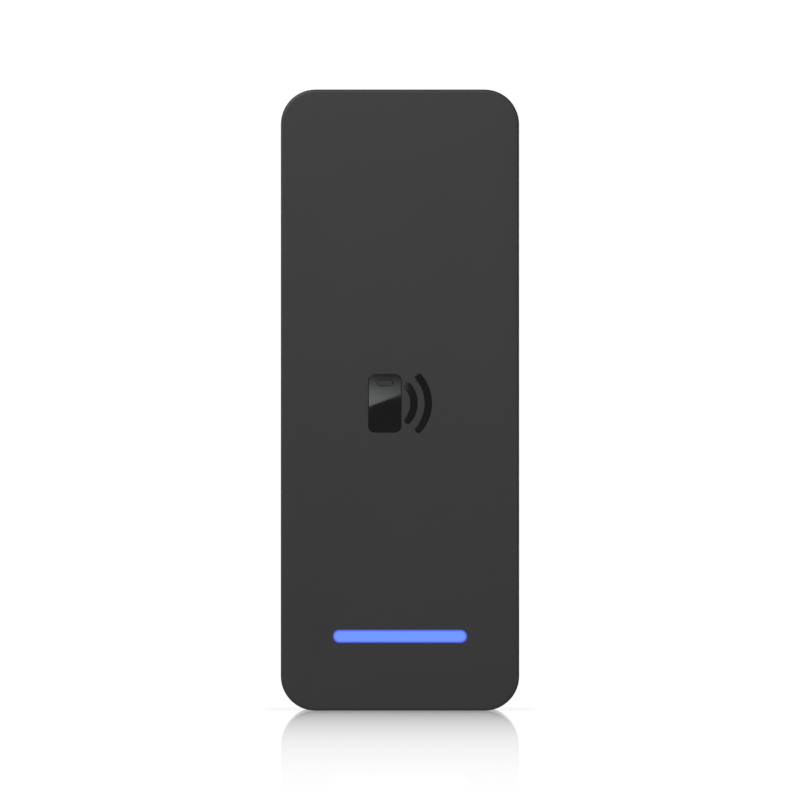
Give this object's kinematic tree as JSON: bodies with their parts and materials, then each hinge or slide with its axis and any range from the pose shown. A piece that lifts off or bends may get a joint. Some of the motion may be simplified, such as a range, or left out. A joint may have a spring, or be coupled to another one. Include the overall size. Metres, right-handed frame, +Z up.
{
  "type": "rfid card reader",
  "caption": "Slim upright contactless card reader with a lit bar, hung on a steel wall plate and locked from below.",
  "frame": {"origin": "on the wall, at the centre of the wall plate's rear face", "axes": "+Z up along the reader, -Y out of the front face towards the user, +X to the user's right"},
  "size_m": [0.0506, 0.0201, 0.1316],
  "materials": {
    "cover_plastic": "fine satin moulded surface, dark grey",
    "housing_plastic": "fine spark-eroded texture, near black",
    "gloss_black": "polished black, flush with the cover",
    "light_diffuser": "milky diffuser lit from behind in blue",
    "white_plastic": "matt white",
    "led_white": "white case with a clear window",
    "circuit_board": "green solder mask over glass laminate",
    "copper": "etched track under a clear coat",
    "ferrite": "sintered dark grey",
    "gold_plate": "thin gold plating",
    "zinc_screw": "zinc plated",
    "black_screw": "black oxide",
    "chip_black": "moulded epoxy",
    "tinned_steel": "tin plated",
    "ceramic_white": "fired ceramic with silver ends",
    "component_brown": "fired ceramic with tinned ends",
    "can_aluminium": "drawn can with a black sleeve mark",
    "jack_plastic": "glass-filled black",
    "seal_rubber": "soft moulded silicone",
    "woven_mesh": "fine woven screen",
    "foam": "closed-cell foam",
    "diaphragm_film": "thin formed film",
    "brass": "knurled brass",
    "plated_steel": "zinc-plated sheet with a faint rolling grain",
    "spring_steel": "bright spring steel",
    "button_plastic": "light grey acetal"
  },
  "bodies": {
    "wall_mount": {"wall_plate": "plated_steel"},
    "reader": {"front_cover": "cover_plastic", "emblem_inlay": "gloss_black", "light_bar": "light_diffuser", "light_frame": "white_plastic", "leds": "led_white", "antenna_board": "circuit_board", "antenna_coil": "copper", "ferrite_sheet": "ferrite", "antenna_pins": "gold_plate", "main_board": "circuit_board", "board_screws": "zinc_screw", "processor": "chip_black", "radio_shield": "tinned_steel", "card_chip": "chip_black", "memory_chip": "chip_black", "network_chip": "chip_black", "crystal": "tinned_steel", "bluetooth_antenna": "ceramic_white", "small_components": "component_brown", "poe_transformer": "ferrite", "filter_capacitors": "can_aluminium", "power_inductor": "ferrite", "jack_shell": "tinned_steel", "jack_body": "jack_plastic", "jack_contacts": "gold_plate", "jack_gasket": "seal_rubber", "sound_mesh": "woven_mesh", "speaker_gasket": "foam", "speaker": "tinned_steel", "speaker_diaphragm": "diaphragm_film", "rear_housing": "housing_plastic", "housing_seal": "seal_rubber", "wall_seal": "seal_rubber", "vent_membrane": "white_plastic", "housing_screws": "zinc_screw", "threaded_inserts": "brass", "security_insert": "brass", "reset_switch": "chip_black", "tamper_cup": "housing_plastic", "tamper_spring": "spring_steel", "tamper_switch": "chip_black", "tamper_lever_pin": "spring_steel"},
    "lock_screw": {"security_screw": "black_screw"},
    "reset_control": {"reset_button": "button_plastic", "reset_switch_plunger": "white_plastic"},
    "tamper_pin": {"tamper_plunger": "button_plastic"},
    "tamper_arm": {"tamper_lever": "spring_steel"}
  },
  "joints": [
    {"name": "reader_swing", "type": "hinge", "parent": "wall_mount", "child": "reader", "pos_m": [0, -0.0034, 0.0624], "axis": [-1, 0, 0], "range_deg": [0, 10]},
    {"name": "lock_screw_withdraw", "type": "slide", "parent": "reader", "child": "lock_screw", "axis": [0, 0, -1], "range_m": [0, 0.0075]},
    {"name": "reset_press", "type": "slide", "parent": "reader", "child": "reset_control", "axis": [0, -1, 0], "range_m": [0, 0.0003], "stiffness_N_per_m": 4000},
    {"name": "tamper_slide", "type": "slide", "parent": "reader", "child": "tamper_pin", "axis": [0, 1, 0], "range_m": [0, 0.0012], "stiffness_N_per_m": 200, "springref_m": 0.0016, "deforming": ["tamper_spring"]},
    {"name": "tamper_lever_turn", "type": "hinge", "parent": "reader", "child": "tamper_arm", "pos_m": [0.0155, -0.01175, -0.0283], "axis": [-1, 0, 0], "range_deg": [0, 11]}
  ],
  "couplings": [
    {"joint": "tamper_lever_turn", "follows": "tamper_slide", "rad_per_m": 150}
  ]
}
